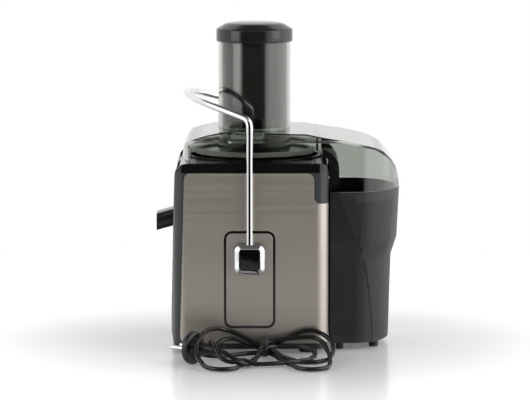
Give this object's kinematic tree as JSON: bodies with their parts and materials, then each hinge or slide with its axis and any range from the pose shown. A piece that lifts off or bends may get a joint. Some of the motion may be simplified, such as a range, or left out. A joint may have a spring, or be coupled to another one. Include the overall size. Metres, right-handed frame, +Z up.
{
  "type": "centrifugal juicer",
  "caption": "Upright centrifugal juicer with steel sides, a clear lid and wide feed tube, a swinging chrome locking arm and a pulp bin behind.",
  "frame": {"origin": "on the surface the juicer stands on, under the middle of its length from the spout's end to the rear of the bin", "axes": "+Z up, +X towards the pulp bin, -X towards the spout, -Y towards the side with the mains lead"},
  "size_m": [0.293, 0.3824, 0.3874],
  "materials": {
    "graphite_plastic": "fine moulded texture",
    "black_gloss": "polished",
    "brushed_steel": "brushed",
    "chrome_rod": "polished",
    "clear_smoke": "clear moulded plastic, smoke tint",
    "pusher_smoke": "translucent moulded plastic",
    "charcoal_plastic": "fine moulded texture",
    "rubber_black": "matt",
    "cord_black": "satin",
    "motor_steel": "plain",
    "zinc_cast": "cast",
    "copper_winding": "varnished",
    "carbon": "matt",
    "white_nylon": "satin",
    "fine_steel": "etched mesh",
    "board_green": "satin"
  },
  "bodies": {
    "base": {"housing": "graphite_plastic", "top_cover": "black_gloss", "base_plate": "charcoal_plastic", "rubber_feet": "rubber_black", "base_screws": "motor_steel", "side_panel_near": "brushed_steel", "side_panel_far": "brushed_steel", "arm_plate_near": "brushed_steel", "arm_plate_far": "brushed_steel", "pivot_bush_near": "white_nylon", "pivot_bush_far": "white_nylon", "motor_stator": "motor_steel", "motor_bracket_upper": "zinc_cast", "motor_bracket_lower": "zinc_cast", "motor_bushes": "rubber_black", "carbon_brushes": "carbon", "shaft_seal": "rubber_black", "interlock_switch": "charcoal_plastic", "speed_switch": "charcoal_plastic", "rocker_frame": "black_gloss", "suppressor_board": "board_green", "strain_relief": "cord_black", "cord_lead": "cord_black", "cord_hank": "cord_black", "cord_tie": "rubber_black", "cord_tail": "cord_black", "plug_body": "cord_black", "plug_pins": "chrome_rod"},
    "rotor": {"motor_shaft": "motor_steel", "armature": "copper_winding", "commutator": "copper_winding", "cooling_fan": "charcoal_plastic", "drive_coupling": "white_nylon"},
    "basket": {"sieve_cone": "fine_steel", "basket_rim": "white_nylon", "grating_disc": "fine_steel", "basket_hub": "white_nylon"},
    "bowl": {"juice_bowl": "black_gloss", "pulp_chute": "charcoal_plastic"},
    "cover": {"lid": "clear_smoke", "lid_rib": "clear_smoke"},
    "pusher": {"pusher_body": "pusher_smoke", "pusher_cap": "black_gloss"},
    "bin": {"pulp_bin": "charcoal_plastic", "bin_feet": "charcoal_plastic"},
    "arm": {"locking_arm": "chrome_rod", "arm_clamp_near": "chrome_rod", "arm_clamp_far": "chrome_rod", "clamp_inlay_near": "black_gloss", "clamp_inlay_far": "black_gloss", "pivot_pin_near": "motor_steel", "pivot_pin_far": "motor_steel", "pin_clips": "motor_steel"},
    "plunger": {"interlock_plunger": "white_nylon"},
    "rocker": {"rocker_button": "charcoal_plastic"}
  },
  "joints": [
    {"name": "lid_lift", "type": "slide", "parent": "base", "child": "cover", "axis": [0, 0, 1], "range_m": [0, 0.085]},
    {"name": "arm_swing", "type": "hinge", "parent": "base", "child": "arm", "pos_m": [-0.0339, 0, 0.1135], "axis": [0, -1, 0], "range_deg": [0, 100]},
    {"name": "bowl_lift", "type": "slide", "parent": "base", "child": "bowl", "axis": [0, 0, 1], "range_m": [0, 0.025]},
    {"name": "drive_spin", "type": "hinge", "parent": "base", "child": "rotor", "pos_m": [-0.0285, 0, 0.1], "axis": [0, 0, 1], "continuous": true},
    {"name": "basket_lift", "type": "slide", "parent": "rotor", "child": "basket", "axis": [0, 0, 1], "range_m": [0, 0.05]},
    {"name": "pusher_slide", "type": "slide", "parent": "cover", "child": "pusher", "axis": [0, 0, 1], "range_m": [0, 0.09]},
    {"name": "bin_slide", "type": "slide", "parent": "base", "child": "bin", "axis": [1, 0, 0], "range_m": [0, 0.1]},
    {"name": "plunger_rise", "type": "slide", "parent": "base", "child": "plunger", "axis": [0, 0, 1], "range_m": [0, 0.002]},
    {"name": "rocker_tilt", "type": "hinge", "parent": "base", "child": "rocker", "pos_m": [-0.11757, 0, 0.078], "axis": [0, 1, 0], "range_deg": [-8, 8]}
  ],
  "couplings": [
    {"joint": "arm_swing", "follows": "lid_lift", "rad_per_m": 20.531},
    {"joint": "bowl_lift", "follows": "lid_lift", "ratio": 0.294},
    {"joint": "basket_lift", "follows": "lid_lift", "ratio": 0.5881},
    {"joint": "plunger_rise", "follows": "lid_lift", "ratio": 0.0235}
  ]
}
